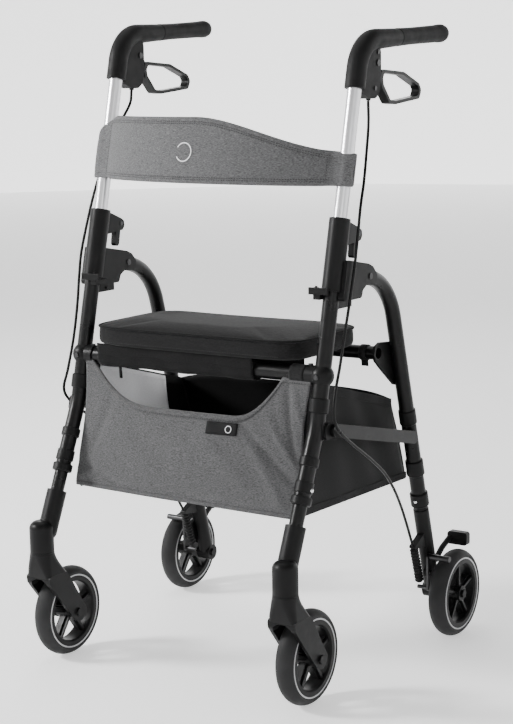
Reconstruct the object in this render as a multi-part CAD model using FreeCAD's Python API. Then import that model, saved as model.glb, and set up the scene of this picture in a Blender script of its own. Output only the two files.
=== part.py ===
import FreeCAD, Part
import math
import os

# Rollator walker, millimetres, +Z up.  The front (bag side, casters) faces -Y, the grips point to +Y.
# The origin lies on the floor in the middle of the walker's footprint.
# A place is given as x, d, z, where d is the distance behind the front axle line.

V = FreeCAD.Vector

# ---- driving dimensions ----
wheel_diameter = 150.0
tyre_width = 32.0
wheelbase = 415.4
front_track = 472.0
rear_track = 560.6
front_leg_x = 232.0
rear_leg_x = 238.0
leg_tube_r = 12.7
leg_bore_r = 11.18
inner_tube_r = 11.1
inner_bore_r = 9.6
height_notch = 20.0

# ---- front leg line: an upper straight raked back, and a lower straight raked more ----
upper_rake = math.radians(13.47)
lower_rake = math.radians(24.23)
front_leg_knee = (41.96, 427.8)
knee_radius = 140.0
front_leg_top_z = 724.0
front_leg_end_z = 317.0

# ---- rear leg line, from its fold pivot down to the rear axle ----
fold_pivot = (170.0, 647.0)
rear_rake = math.radians(15.85)
rear_leg_crown_z = 627.0
crown_radius = 100.0
rear_leg_end_z = 232.0

# ---- caster ----
stem_d = -60.0
stem_r = 20.0
head_split_z = 190.0
blade_in = 18.6
blade_out = 24.6

# ---- handles, measured with the right handle at its notch ----
handle_tube_end_z = 560.0
grip_rise = math.radians(3.1)
grip_toe_out = math.radians(1.7)
handle_corner_z = 1008.7
elbow_radius = 58.0
grip_start = 110.0
grip_length = 158.0
housing_r = 16.2
housing_end_r = 14.2
lever_pivot = (222.0, 975.0)
cam_pivot = (159.0, 714.0)
lock_pin_x = 214.0

# ---- cross tubes and seat ----
front_bar = (60.0, 504.0)
rear_bar = (246.0, 512.0)
front_bar_r = 12.7
rear_bar_r = 11.1
seat_half_width = 200.0
seat_front_d = 32.0
seat_back_d = 246.0
seat_bottom_z = 524.0
seat_height = 36.0
seat_sleeve = (-190.0, 113.0)

# ---- side stay between the front leg and a stud on the rear leg ----
stay_pivot = (60.0, 421.0)
stay_stud = (314.0, 363.4)
stay_in_x = 251.4
stay_depth = 6.0
stay_height = 21.0
stay_skin = 2.2
stud_head_r = 4.4

# ---- telescoping feet ----
foot_travel = 50.0
front_snap_z = 338.0
rear_snap_z = 243.0

# ---- soft goods ----
bag_half_width = 210.0
bag_wall = 2.6
backrest_bulge = 95.0
fabric = 3.0

front_axle_y = -wheelbase / 2
wheel_r = wheel_diameter / 2
upper_slope = math.tan(upper_rake)
lower_slope = math.tan(lower_rake)
rear_slope = math.tan(rear_rake)
upper_dir = V(0, math.sin(upper_rake), math.cos(upper_rake))
lower_dir = V(0, math.sin(lower_rake), math.cos(lower_rake))
rear_dir = V(0, -math.sin(rear_rake), math.cos(rear_rake))
right, left = 1, -1
sides = (("right", right), ("left", left))
parts = {}


# ---- small tools ----
def at(x, d, z):
    return V(x, front_axle_y + d, z)


def upper_d(z):
    return front_leg_knee[0] + upper_slope * (z - front_leg_knee[1])


def lower_d(z):
    return front_leg_knee[0] + lower_slope * (z - front_leg_knee[1])


def rear_d(z):
    return wheelbase - rear_slope * (z - wheel_r)


def on_front_leg(z):
    """Centre of the right front leg at height z."""
    if z >= front_leg_knee[1]:
        return at(front_leg_x, upper_d(z), z)
    return at(front_leg_x, lower_d(z), z)


def on_rear_leg(z):
    return at(rear_leg_x, rear_d(z), z)


def rod(a, b, r):
    return Part.makeCylinder(r, a.distanceToPoint(b), a, b - a)


def pipe_between(a, b, outer, bore):
    """A straight tube; the bore runs past both ends."""
    along = (b - a).normalize()
    return rod(a, b, outer).cut(rod(a - along, b + along, bore))


def rod_x(x0, x1, d, z, r):
    return rod(at(x0, d, z), at(x1, d, z), r)


def block(x0, x1, d0, d1, z0, z1):
    return Part.makeBox(x1 - x0, d1 - d0, z1 - z0, at(x0, d0, z0))


def fused(shapes):
    body = shapes[0]
    for shape in shapes[1:]:
        body = body.fuse(shape)
    return body.removeSplitter()


def mirrored(shape):
    return shape.mirror(V(0, 0, 0), V(1, 0, 0))


def both(shape):
    return Part.makeCompound([shape, mirrored(shape)])


def rounded_route(points, radius_at):
    """Straight runs joined by tangent arcs; radius_at(i, turn, before, after) gives the arc at point i."""
    edges = []
    start = points[0]
    for i in range(1, len(points) - 1):
        back = (points[i - 1] - points[i]).normalize()
        ahead = (points[i + 1] - points[i]).normalize()
        turn = math.pi - back.getAngle(ahead)
        before = points[i].distanceToPoint(points[i - 1])
        after = points[i].distanceToPoint(points[i + 1])
        r = radius_at(i, turn, before, after)
        reach = r * math.tan(turn / 2)
        bisector = (back + ahead).normalize()
        middle = points[i] + bisector * (r / math.cos(turn / 2) - r)
        a = points[i] + back * reach
        b = points[i] + ahead * reach
        edges.append(Part.LineSegment(start, a).toShape())
        edges.append(Part.Arc(a, middle, b).toShape())
        start = b
    edges.append(Part.LineSegment(start, points[-1]).toShape())
    return Part.Wire(edges)


def swept(wire, r):
    first = wire.Edges[0]
    start = first.valueAt(first.FirstParameter)
    along = first.tangentAt(first.FirstParameter)
    ring = Part.Wire(Part.makeCircle(r, start, along))
    return wire.makePipeShell([ring], True, True)


def bent_tube(points, radius, outer, bore):
    route = rounded_route(points, lambda i, turn, before, after: radius)
    body = swept(route, outer)
    return body.cut(swept(route, bore)) if bore else body


def plate(points, x0, x1, corner=0.0):
    """A flat plate across X from its side outline; its corners are rounded where asked."""
    corners = [at(x0, d, z) for d, z in points]
    count = len(corners)
    edges = []
    ends = []
    for i in range(count):
        back = (corners[i - 1] - corners[i]).normalize()
        ahead = (corners[(i + 1) % count] - corners[i]).normalize()
        turn = math.pi - back.getAngle(ahead)
        room = 0.45 * min(corners[i].distanceToPoint(corners[i - 1]),
                          corners[i].distanceToPoint(corners[(i + 1) % count]))
        reach = min(corner * math.tan(turn / 2), room)
        if reach < 0.05:
            ends.append((corners[i], corners[i]))
            continue
        r = reach / math.tan(turn / 2)
        bisector = (back + ahead).normalize()
        middle = corners[i] + bisector * (r / math.cos(turn / 2) - r)
        a, b = corners[i] + back * reach, corners[i] + ahead * reach
        edges.append(Part.Arc(a, middle, b).toShape())
        ends.append((a, b))
    for i in range(count):
        edges.append(Part.LineSegment(ends[i - 1][1], ends[i][0]).toShape())
    outline = Part.Wire(Part.__sortEdges__(edges))
    return Part.Face(outline).extrude(V(x1 - x0, 0, 0))


def turned(profile, centre, axis):
    """Revolve an (along, radius) outline about an axis through the centre."""
    points = [V(r, 0, a) for a, r in profile]
    face = Part.Face(Part.makePolygon(points + [points[0]]))
    body = face.revolve(V(0, 0, 0), V(0, 0, 1), 360)
    body.Placement = FreeCAD.Placement(centre, FreeCAD.Rotation(V(0, 0, 1), axis))
    return body


def collar(point, along, half_length, outer, bore, bevel=1.5):
    """A ring round a tube with bevelled rims."""
    profile = [(-half_length, bore), (-half_length, outer - bevel), (-half_length + bevel, outer),
               (half_length - bevel, outer), (half_length, outer - bevel), (half_length, bore)]
    return turned(profile, point, along)


def dome_button(point, outward, r, height):
    """A round button with a spherical face."""
    stem = rod(point, point + outward * (height - r * 0.6), r)
    return stem.fuse(Part.makeSphere(r, point + outward * (height - r * 0.6))).removeSplitter()


# ---- wheels ----
def tyre(x, d):
    """A bonded tyre with a round crown, open between its beads."""
    bead = 57.0
    shoulder = 66.0
    half = tyre_width / 2
    edges = [
        Part.LineSegment(V(bead, 0, -11), V(bead, 0, 11)),
        Part.LineSegment(V(bead, 0, 11), V(62.5, 0, half - 1)),
        Part.LineSegment(V(62.5, 0, half - 1), V(shoulder, 0, half)),
        Part.Arc(V(shoulder, 0, half), V(wheel_r, 0, 0), V(shoulder, 0, -half)),
        Part.LineSegment(V(shoulder, 0, -half), V(62.5, 0, -half + 1)),
        Part.LineSegment(V(62.5, 0, -half + 1), V(bead, 0, -11)),
    ]
    face = Part.Face(Part.Wire([edge.toShape() for edge in edges]))
    body = face.revolve(V(0, 0, 0), V(0, 0, 1), 360)
    body.Placement = FreeCAD.Placement(at(x, d, wheel_r), FreeCAD.Rotation(V(0, 0, 1), V(1, 0, 0)))
    return body


def rim(x, d, hub_half):
    """Barrel, five ribbed spokes and a hub bored for the axle."""
    centre = at(x, d, wheel_r)
    barrel = turned([(-11.5, 50.0), (-14.6, 52.0), (-14.6, 61.95), (-11, 57.0), (11, 57.0),
                     (14.6, 61.95), (14.6, 52.0), (11.5, 50.0)], centre, V(1, 0, 0))
    hub = rod_x(x - hub_half, x + hub_half, d, wheel_r, 13.0)
    pieces = [barrel, hub]
    for i in range(5):
        spoke = block(x - 4.5, x + 4.5, d - 5.5, d + 5.5, wheel_r + 8, wheel_r + 53)
        rib = block(x - 10, x + 10, d - 2.2, d + 2.2, wheel_r + 8, wheel_r + 53)
        for piece in (spoke, rib):
            piece.rotate(centre, V(1, 0, 0), 72.0 * i)
            pieces.append(piece)
    return fused(pieces).cut(rod_x(x - 40, x + 40, d, wheel_r, 4.05))


def axle_bolt(x_head, x_nut, d):
    """A shaft with a round head and a hexagon nut."""
    step = math.copysign(1, x_nut - x_head)
    shaft = rod_x(x_head, x_nut, d, wheel_r, 4.0)
    head = rod_x(x_head - 3.6 * step, x_head, d, wheel_r, 7.0)
    corners = [(d + 7.2 * math.cos(math.radians(60 * i)), wheel_r + 7.2 * math.sin(math.radians(60 * i)))
               for i in range(6)]
    low, high = sorted((x_nut, x_nut + 4.0 * step))
    return fused([shaft, head, plate(corners, low, high)])


def add_wheels():
    for name, side in sides:
        for end, x, d, hub_half in (("front", front_track / 2, 0.0, 17.6), ("rear", rear_track / 2, wheelbase, 15.5)):
            parts[f"{end}_tyre_{name}"] = tyre(side * x, d)
            parts[f"{end}_rim_{name}"] = rim(side * x, d, hub_half)


# ---- casters ----
def flare_ring(x, z, half_x, d0, d1, corner):
    """A rounded rectangle at height z, with eight edges whatever its size."""
    edges = []
    starts = [(x + half_x, d0 + corner), (x + half_x, d1 - corner), (x + half_x - corner, d1),
              (x - half_x + corner, d1), (x - half_x, d1 - corner), (x - half_x, d0 + corner),
              (x - half_x + corner, d0), (x + half_x - corner, d0)]
    inner = [(x + half_x - corner, d1 - corner), (x - half_x + corner, d1 - corner),
             (x - half_x + corner, d0 + corner), (x + half_x - corner, d0 + corner)]
    places = [at(px, d, z) for px, d in starts]
    for i in range(4):
        a, b, c = places[2 * i], places[2 * i + 1], places[(2 * i + 2) % 8]
        edges.append(Part.LineSegment(a, b).toShape())
        centre = at(inner[i][0], inner[i][1], z)
        outward = (b + c - centre * 2).normalize() * corner
        edges.append(Part.Arc(b, centre + outward, c).toShape())
    return Part.Wire(edges)


def caster_fork():
    """A crown that flares from the stem into two blades, with an arched mouth in front."""
    x = front_track / 2
    crown = Part.makeLoft([flare_ring(x, head_split_z - 0.5, stem_r, stem_d - stem_r, stem_d + stem_r, 19.6),
                           flare_ring(x, 178, 20.9, -79, -38.5, 16.0),
                           flare_ring(x, 162, 23.2, -76.5, -31, 11.0),
                           flare_ring(x, 147, blade_out, -72.5, -22, 7.0)], True, False)
    side_outline = [(-73.5, 152), (-72, 139), (-62, 126), (-22, 78), (-8, 62), (6, 58), (17, 63), (23, 74),
                    (14, 88), (-2, 112), (-21, 143), (-26, 152)]
    blades = plate(side_outline, x - blade_out, x + blade_out, 9.0)
    body = fused([crown, blades])
    mouth = [(-blade_in, 30), (-blade_in, 132), (-blade_in + 4, 141), (-blade_in + 12, 146),
             (blade_in - 12, 146), (blade_in - 4, 141), (blade_in, 132), (blade_in, 30)]
    corners = [at(x + dx, -110, z) for dx, z in mouth]
    arch = Part.Face(Part.makePolygon(corners + [corners[0]])).extrude(V(0, 190, 0))
    body = body.cut(arch).cut(rod_x(x - blade_in, x + blade_in, 0, wheel_r, wheel_r + 4.0))
    pin = rod(at(x, stem_d, head_split_z - 1), at(x, stem_d, head_split_z + 34), 6.0)
    return fused([body, pin]).cut(rod_x(x - 40, x + 40, 0, wheel_r, 4.0))


def caster_head():
    """Upright barrel that holds the swivel bearing, with a socket that runs up the leg."""
    x = front_track / 2
    barrel = rod(at(x, stem_d, head_split_z), at(x, stem_d, 243), stem_r)
    rims = [e for e in barrel.Edges if abs(e.BoundBox.ZMin - 243) < 0.1 and e.BoundBox.ZLength < 0.1]
    barrel = barrel.makeFillet(13.0, rims)
    top = at(front_leg_x, lower_d(286), 286)
    low = at(front_leg_x, lower_d(224), 224)
    start = at(front_leg_x, lower_d(236), 236) + lower_dir * 8
    body = fused([barrel, rod(low, top, 16.2), Part.makeSphere(16.2, low)])
    body = body.cut(rod(start, top + lower_dir, inner_tube_r))
    return body.cut(rod(at(x, stem_d, head_split_z - 1), at(x, stem_d, head_split_z + 34.5), 6.06))


def add_casters():
    x = front_track / 2
    insert = pipe_between(at(front_leg_x, lower_d(236), 236) + lower_dir * 8.2, on_front_leg(404),
                          inner_tube_r, inner_bore_r)
    shapes = {
        "caster_fork": Part.makeCompound([caster_fork(), axle_bolt(x - blade_out, x + blade_out, 0.0)]),
        "caster_head": caster_head(),
        "front_leg_insert": insert.cut(snap_slot(on_front_leg(front_snap_z), V(1, 0, 0), lower_dir)),
    }
    for name, side in sides:
        for node, shape in shapes.items():
            parts[f"{node}_{name}"] = shape if side == right else mirrored(shape)


# ---- front frame ----
def snap_hole(point, outward):
    """Tool that opens a tube's wall for a snap button."""
    return rod(point + outward * 8, point + outward * 22, 3.6)


def snap_slot(point, outward, along):
    """Tool that opens the inner tube where the snap button runs as the foot slides."""
    half = 3.9
    far = point + along * foot_travel
    side = along.cross(outward).normalize() * half
    corners = [point - side, point + side, far + side, far - side]
    middle = Part.Face(Part.makePolygon(corners + [corners[0]])).extrude(outward * 22)
    return fused([middle, rod(point, point + outward * 22, half), rod(far, far + outward * 22, half)])


def front_leg(bore):
    top, knee = on_front_leg(front_leg_top_z), at(front_leg_x, *front_leg_knee)
    return bent_tube([top, knee, on_front_leg(front_leg_end_z)], knee_radius, leg_tube_r, bore)


def handle_sleeve():
    """Moulded sleeve over the leg's top, with a rear lug for the height lever."""
    top, bottom = on_front_leg(740), on_front_leg(630)
    d, z = cam_pivot
    lug = plate([(upper_d(738) + 4, 738), (d, z + 9), (d + 8, z + 4), (d + 9, z - 4), (d + 4, z - 11),
                 (upper_d(698) + 14, 699), (upper_d(698) + 2, 699)], front_leg_x - 10, front_leg_x + 10, 5.0)
    slot = block(front_leg_x - 5.5, front_leg_x + 5.5, d - 20, d + 20, z - 30, z + 30)
    body = fused([rod(bottom, top, 16.6), lug.cut(slot)])
    body = body.cut(rod(bottom - upper_dir, on_front_leg(front_leg_top_z), leg_tube_r))
    return body.cut(rod(bottom, top + upper_dir * 2, inner_tube_r + 0.08))


def height_lever():
    """Cam lever that clamps the handle tube; it hangs behind the sleeve."""
    d, z = cam_pivot
    hub = rod_x(front_leg_x - 5, front_leg_x + 5, d, z, 7.0)
    bar = plate([(d - 6.5, z), (d + 5.5, z), (d - 0.5, z - 34), (d - 4, z - 38), (d - 8, z - 38),
                 (d - 11, z - 34)], front_leg_x - 5, front_leg_x + 5, 3.5)
    return fused([hub, bar]).cut(rod_x(front_leg_x - 20, front_leg_x + 20, d, z, 2.55))


def pivot_bracket():
    """Clevis behind the sleeve for the rear leg's pivot, with the block and pin of the fold lock."""
    d, z = fold_pivot
    outline = [(upper_d(678) - 2, 678), (104, 678), (166, 667), (180, 661), (192, 648), (188, 632), (158, 634),
               (147, 628), (142.5, 616), (upper_d(616) - 2, 616)]
    x0, x1 = front_leg_x - 15, rear_leg_x + 17
    boss = block(front_leg_x - 8, front_leg_x + 8, upper_d(610), 137, 603, 618)
    foot = block(lock_pin_x - 4, lock_pin_x + 8, upper_d(620) - 17, upper_d(620) + 12, 619, 626.6)
    body = fused([plate(outline, x0, x1, 6.0), boss, foot])
    c0, c1 = rear_leg_x - leg_tube_r - 0.4, rear_leg_x + leg_tube_r + 0.4
    sweep = plate([(d + 2.9, z + 12.9), (215, 650.4), (215, 590), (197, 609.9), (d - 8, z - 10.5)], c0, c1)
    body = body.cut(rod_x(c0, c1, d, z, leg_tube_r + 0.5)).cut(sweep)
    body = body.cut(rod(on_front_leg(630), on_front_leg(700), 16.6))
    body = body.cut(rod(on_front_leg(590), on_front_leg(640), leg_tube_r))
    body = body.cut(rod_x(x0 - 1, x1 + 1, d, z, 4.0))
    pin = rod(at(lock_pin_x, upper_d(632) - 17, 621), at(lock_pin_x, upper_d(632) - 17, 640), 2.0)
    cotter = rod_x(front_leg_x - 10, front_leg_x - 8, 116, 609, 2.4)
    return fused([body, pin, cotter])


def fold_lock():
    """Flat tab in front of the leg, pressed to free the rear frame."""
    d = upper_d(632)
    tab = plate([(d - 24, 627), (d - 24, 638), (d - 19.5, 638), (d - 19.5, 627)], 204, front_leg_x + 6, 1.2)
    knuckle = rod(at(lock_pin_x, d - 17, 627), at(lock_pin_x, d - 17, 638), 4.5)
    return fused([tab, knuckle]).cut(rod(at(lock_pin_x, d - 17, 620), at(lock_pin_x, d - 17, 650), 2.05))


def crossbar_connector():
    """Moulded tee with a round end that wraps the leg and takes the front cross tube."""
    d, z = front_bar
    ball = Part.makeSphere(18.4, at(front_leg_x, d, z))
    arm = rod_x(207, front_leg_x, d, z, 15.4)
    body = fused([ball, arm])
    body = body.cut(rod(on_front_leg(z - 40), on_front_leg(z + 40), leg_tube_r))
    return body.cut(rod_x(150, 217, d, z, front_bar_r))


def front_collars():
    """Clamp collars on the leg, and the saddle that carries the side stay's pivot."""
    pieces = [
        collar(on_front_leg(459), upper_dir, 11.5, 15.3, leg_tube_r),
        collar(on_front_leg(377), lower_dir, 7.5, 15.3, leg_tube_r),
        collar(on_front_leg(341), lower_dir, 9.0, 14.6, leg_tube_r, 1.0),
        collar(on_front_leg(322), lower_dir, 6.5, 16.4, leg_tube_r),
    ]
    pieces[2] = pieces[2].cut(snap_hole(on_front_leg(front_snap_z), V(1, 0, 0)))
    d, z = stay_pivot
    ear = plate([(d - 18, z + 13), (d + 2, z + 11), (d + 11, z), (d + 2, z - 11), (d - 24, z - 13)],
                front_leg_x + 8, stay_in_x - 0.4, 6.0)
    saddle = collar(on_front_leg(z), lower_dir, 12.0, 15.0, leg_tube_r)
    saddle = saddle.common(block(front_leg_x - 3, front_leg_x + 20, upper_d(z) - 4, d + 20, z - 20, z + 20))
    post = rod_x(stay_in_x - 2, 257.8, d, z, 4.0)
    return Part.makeCompound(pieces + [fused([saddle, ear, post]).cut(front_leg(0))])


def front_frame_screws():
    """The pins of the fold pivot and the height lever, and the screws of the tee."""
    d, z = fold_pivot
    x0, x1 = front_leg_x - 15, rear_leg_x + 17
    pivot = fused([rod_x(x0 - 1.2, x1 + 1.2, d, z, 4.0), rod_x(x0 - 1.6, x0, d, z, 5.0),
                   rod_x(x1, x1 + 1.6, d, z, 5.0)])
    cam_d, cam_z = cam_pivot
    cam = fused([rod_x(front_leg_x - 11, front_leg_x + 11, cam_d, cam_z, 2.5),
                 rod_x(front_leg_x - 11, front_leg_x - 10, cam_d, cam_z, 3.6),
                 rod_x(front_leg_x + 10, front_leg_x + 11, cam_d, cam_z, 3.6)])
    bar_d, bar_z = front_bar
    tee = rod(at(211.6, bar_d, bar_z + 15.45), at(211.6, bar_d, bar_z + 17.6), 4.0)
    clamp = rod(at(front_leg_x, bar_d - 18.45, bar_z), at(front_leg_x, bar_d - 20.4, bar_z), 3.8)
    return Part.makeCompound([pivot, cam, tee, clamp])


def add_front_frame():
    leg = front_leg(leg_bore_r).cut(snap_hole(on_front_leg(front_snap_z), V(1, 0, 0)))
    sleeve = handle_sleeve()
    sleeve = sleeve.cut(rod_x(front_leg_x - 12, front_leg_x + 12, *cam_pivot, 2.5))
    bracket, lever, lock = pivot_bracket(), height_lever(), fold_lock()
    button = dome_button(on_front_leg(front_snap_z) + V(9.8, 0, 0), V(1, 0, 0), 3.5, 6.4)
    for name, side in sides:
        hand = (lambda s: s) if side == right else mirrored
        parts[f"height_lever_{name}"] = hand(lever)
        parts[f"fold_lock_{name}"] = hand(lock)
        parts[f"front_snap_{name}"] = hand(button)
    parts["front_legs"] = both(leg)
    parts["handle_sleeves"] = both(sleeve)
    parts["pivot_brackets"] = both(bracket)
    parts["front_crossbar"] = pipe_between(at(-217, *front_bar), at(217, *front_bar), front_bar_r, 11.2)
    parts["crossbar_connectors"] = both(crossbar_connector())
    parts["front_collars"] = both(front_collars())
    parts["front_frame_screws"] = both(front_frame_screws())


# ---- handles ----
def grip_axis():
    return V(math.sin(grip_toe_out), math.cos(grip_toe_out) * math.cos(grip_rise), math.sin(grip_rise)).normalize()


def handle_housing():
    """Elbow over the tube's top that narrows towards the grip, with two cheeks for the brake lever."""
    corner = on_front_leg(handle_corner_z)
    foot = on_front_leg(936)
    end = corner + grip_axis() * grip_start
    bend_end = corner + grip_axis() * (elbow_radius * math.tan(upper_dir.getAngle(grip_axis()) / 2) + 2)
    elbow = bent_tube([foot, corner, bend_end], elbow_radius, housing_r, 0)
    neck = Part.makeCone(housing_r, housing_end_r, bend_end.distanceToPoint(end), bend_end, grip_axis())
    web = [(upper_d(944) - 4, 944), (172, 929), (194, 920), (214, 920), (226, 928), (232, 948), (232, 1000),
           (upper_d(1000) + 30, 1004), (upper_d(980) - 2, 980)]
    cheeks = plate(web, front_leg_x - 9, front_leg_x + 9, 12.0)
    slot = block(front_leg_x - 4.6, front_leg_x + 4.6, 200, 240, 905, 994)
    ferrule = rod(at(front_leg_x, 206.2, 917.4), at(front_leg_x, 207.4, 932), 3.9)
    body = fused([elbow, neck, cheeks.cut(slot), ferrule])
    body = body.cut(rod(foot - upper_dir * 20, corner - upper_dir * 42, inner_tube_r))
    body = body.cut(rod_x(front_leg_x - 20, front_leg_x + 20, *lever_pivot, 3.0))
    return body.cut(rod(end - grip_axis() * 24, end + grip_axis(), 8.0))


def grip():
    """Soft grip on a core that plugs into the housing."""
    corner = on_front_leg(handle_corner_z)
    start = corner + grip_axis() * grip_start
    length = grip_length
    profile = [(-23, 0), (-23, 7.95), (0.2, 7.95), (0.2, 13.8), (3, 14.6), (9, 14.3), (40, 13.7), (90, 13.9),
               (length - 34, 14.2), (length - 20, 15.0), (length - 12, 14.8), (length - 6, 13.2),
               (length - 2.4, 10.0), (length - 0.5, 5.5), (length, 0)]
    return turned(profile, start, grip_axis())


def brake_lever():
    """Closed loop lever: squeeze it up to brake, push it down to park."""
    outer = [(238, 965), (310, 960.5), (362, 942), (370, 931), (363, 917), (282, 909.5), (263, 911), (236, 938),
             (233, 951)]
    inner = [(246, 959.5), (309, 955.3), (358, 938), (363.5, 931), (358.5, 922), (282, 915), (265, 917),
             (243, 941), (241, 951)]
    loop = plate(outer, front_leg_x - 7.5, front_leg_x + 7.5, 8.0)
    loop = loop.cut(plate(inner, front_leg_x - 9, front_leg_x + 9, 5.0))
    root = plate([(214, 983), (228, 983), (243, 962), (239, 944), (232, 944), (214, 966)],
                 front_leg_x - 4, front_leg_x + 4, 4.0)
    return fused([loop, root]).cut(rod_x(front_leg_x - 20, front_leg_x + 20, *lever_pivot, 3.06))


def handle_screws():
    """Lever pivot pin and the two housing screws."""
    x0, x1 = front_leg_x - 9, front_leg_x + 9
    pin = fused([rod_x(x0 - 1.8, x1 + 1.8, *lever_pivot, 3.0), rod_x(x0 - 1.8, x0, *lever_pivot, 5.0),
                 rod_x(x1, x1 + 1.8, *lever_pivot, 5.0)])
    upper = rod_x(x1, x1 + 1.6, 223, 992, 3.6)
    lower = rod_x(x1, x1 + 1.6, 212, 936, 3.6)
    return Part.makeCompound([pin, upper, lower])


def add_handles():
    tube = pipe_between(on_front_leg(handle_tube_end_z), on_front_leg(handle_corner_z) - upper_dir * 42.1,
                        inner_tube_r, inner_bore_r)
    shapes = {"handle_tube": tube, "handle_housing": handle_housing(), "grip": grip(),
              "brake_lever": brake_lever(), "handle_screws": handle_screws()}
    for name, side in sides:
        for node, shape in shapes.items():
            copy = shape.copy()
            if side == left:
                copy.translate(upper_dir * height_notch)
                copy = mirrored(copy)
            parts[f"{node}_{name}"] = copy


# ---- backrest ----
def backrest():
    """Curved fabric band with a pocket round each handle tube; its top edge follows the hump."""
    mid_z = 790.0
    radius = (front_leg_x ** 2 + backrest_bulge ** 2) / (2 * backrest_bulge)
    tube_y = at(0, upper_d(mid_z), 0).y
    centre = V(0, tube_y - backrest_bulge + radius, mid_z)
    disc = Part.makeCylinder(radius, 0.1, centre)
    sector = math.degrees(math.asin(front_leg_x / radius))

    def arc(r):
        a = math.radians(sector)
        ends = [centre + V(math.sin(t) * r, -math.cos(t) * r, 0) for t in (-a, 0, a)]
        return Part.Arc(*ends).toShape(), ends[0], ends[2]

    outer, outer_left, outer_right = arc(radius + fabric / 2)
    inner, inner_left, inner_right = arc(radius - fabric / 2)
    band = Part.Face(Part.Wire(Part.__sortEdges__([outer, inner,
                                                   Part.LineSegment(outer_left, inner_left).toShape(),
                                                   Part.LineSegment(outer_right, inner_right).toShape()])))
    span = upper_dir * (130 / upper_dir.z)
    body = band.extrude(span)
    for x in (-front_leg_x, front_leg_x):
        foot = V(x, tube_y, mid_z)
        body = body.fuse(rod(foot - upper_dir * 10, foot + span, inner_tube_r + 3.2))
    for x in (-front_leg_x, front_leg_x):
        foot = V(x, tube_y, mid_z)
        body = body.cut(rod(foot - upper_dir * 20, foot + span * 1.2, inner_tube_r + 0.4))
    hump = [(-270, 789), (-270, 850), (-240, 872), (-205, 888), (-133, 894), (-41, 895), (25, 893), (62, 889),
            (95, 878), (150, 860), (182, 852), (222, 843), (270, 838), (270, 789)]
    corners = [V(x, tube_y - 200, z) for x, z in hump]
    window = Part.Face(Part.makePolygon(corners + [corners[0]])).extrude(V(0, 400, 0))
    return body.common(window).removeSplitter()


# ---- seat and bag ----
def seat():
    """Cushion on a board, with soft vertical corners and a low crown."""
    w, top = seat_half_width, seat_bottom_z + seat_height
    base = block(-w, w, seat_front_d, seat_back_d, seat_bottom_z, top)
    uprights = [e for e in base.Edges if abs(e.BoundBox.ZLength - seat_height) < 0.1]
    base = base.makeFillet(24.0, uprights)
    crown = block(-w + 30, w - 30, seat_front_d + 30, seat_back_d - 30, top - 1, top + 5)
    d, z = front_bar
    sleeve = rod_x(*seat_sleeve, d, z, front_bar_r + 2.6)
    web = block(*seat_sleeve, d - 8, d + 8, z, seat_bottom_z)
    body = fused([base, crown, sleeve, web])
    return body.cut(rod_x(-w, w, d, z, front_bar_r + 0.06))


def bag():
    """Open-topped carrier with a low front lip between the front legs."""
    w = bag_half_width
    outline = [(50, 487), (17, 286), (352, 272), (312, 424)]
    body = plate(outline, -w, w, 4.0)
    room = [(50 + 3.5, 500), (17 + 3, 286 + bag_wall), (352 - 3, 272 + bag_wall), (312 - 2, 440)]
    body = body.cut(plate(room, -w + bag_wall, w - bag_wall, 4.0))
    lip = plate([(0, 446), (80, 446), (80, 520), (0, 520)], -198, 198)
    return body.cut(lip)


# ---- rear frame ----
def rear_leg():
    top = at(rear_leg_x, *fold_pivot)
    crown = on_rear_leg(rear_leg_crown_z)
    leg = bent_tube([top, crown, on_rear_leg(rear_leg_end_z)], crown_radius, leg_tube_r, leg_bore_r)
    eye = rod_x(rear_leg_x - leg_tube_r, rear_leg_x + leg_tube_r, *fold_pivot, leg_tube_r)
    leg = fused([leg, eye])
    leg = leg.cut(rod_x(rear_leg_x - 30, rear_leg_x + 30, *fold_pivot, 4.06))
    return leg.cut(snap_hole(on_rear_leg(rear_snap_z), V(0, -1, 0)))


def rear_gusset():
    """Plate in front of the rear leg that carries the rear cross tube, with its bolt."""
    d, z = rear_bar
    outline = [(d - 14, z), (d - 10, z + 12), (d + 4, z + 17), (rear_d(526) - 2, 526), (rear_d(450), 450),
               (rear_d(452) - 10, 452), (d + 7, z - 26), (d - 10, z - 12)]
    body = plate(outline, rear_leg_x - 15.4, rear_leg_x - 11.2, 5.0)
    body = body.cut(rod(on_rear_leg(420), on_rear_leg(550), leg_tube_r))
    body = body.cut(rod_x(rear_leg_x - 30, rear_leg_x + 10, d, z, rear_bar_r))
    return fused([body, rod_x(rear_leg_x - 18.0, rear_leg_x - 15.4, 275, 496, 4.5)])


def rear_collars():
    pieces = [
        collar(on_rear_leg(395.5), rear_dir, 13.0, 14.6, leg_tube_r),
        collar(on_rear_leg(304), rear_dir, 14.0, 15.2, leg_tube_r),
        collar(on_rear_leg(246), rear_dir, 12.5, 15.6, leg_tube_r),
    ]
    pieces[2] = pieces[2].cut(snap_hole(on_rear_leg(rear_snap_z), V(0, -1, 0)))
    nub = plate([(rear_d(240) + 14, 252), (rear_d(240) + 22, 246), (rear_d(240) + 22, 238), (rear_d(240) + 14, 234)],
                rear_leg_x - 5, rear_leg_x + 5, 2.5)
    pieces[2] = fused([pieces[2], nub.cut(rod(on_rear_leg(220), on_rear_leg(270), 14.0))])
    lug = plate([(stay_stud[0] - 7, stay_stud[1] + 8), (stay_stud[0] + 12, stay_stud[1] + 12),
                 (rear_d(345), 366), (rear_d(345) + 2, 345), (stay_stud[0] - 4, stay_stud[1] - 8)],
                rear_leg_x + 3, rear_leg_x + 8, 4.0)
    stud = fused([rod_x(rear_leg_x + 5, stay_in_x + 3.6, *stay_stud, 2.8),
                  rod_x(stay_in_x + 0.8, stay_in_x + 3.6, *stay_stud, stud_head_r)])
    lug = fused([lug.cut(rod(on_rear_leg(330), on_rear_leg(390), leg_tube_r)), stud])
    return Part.makeCompound(pieces + [lug])


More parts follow.
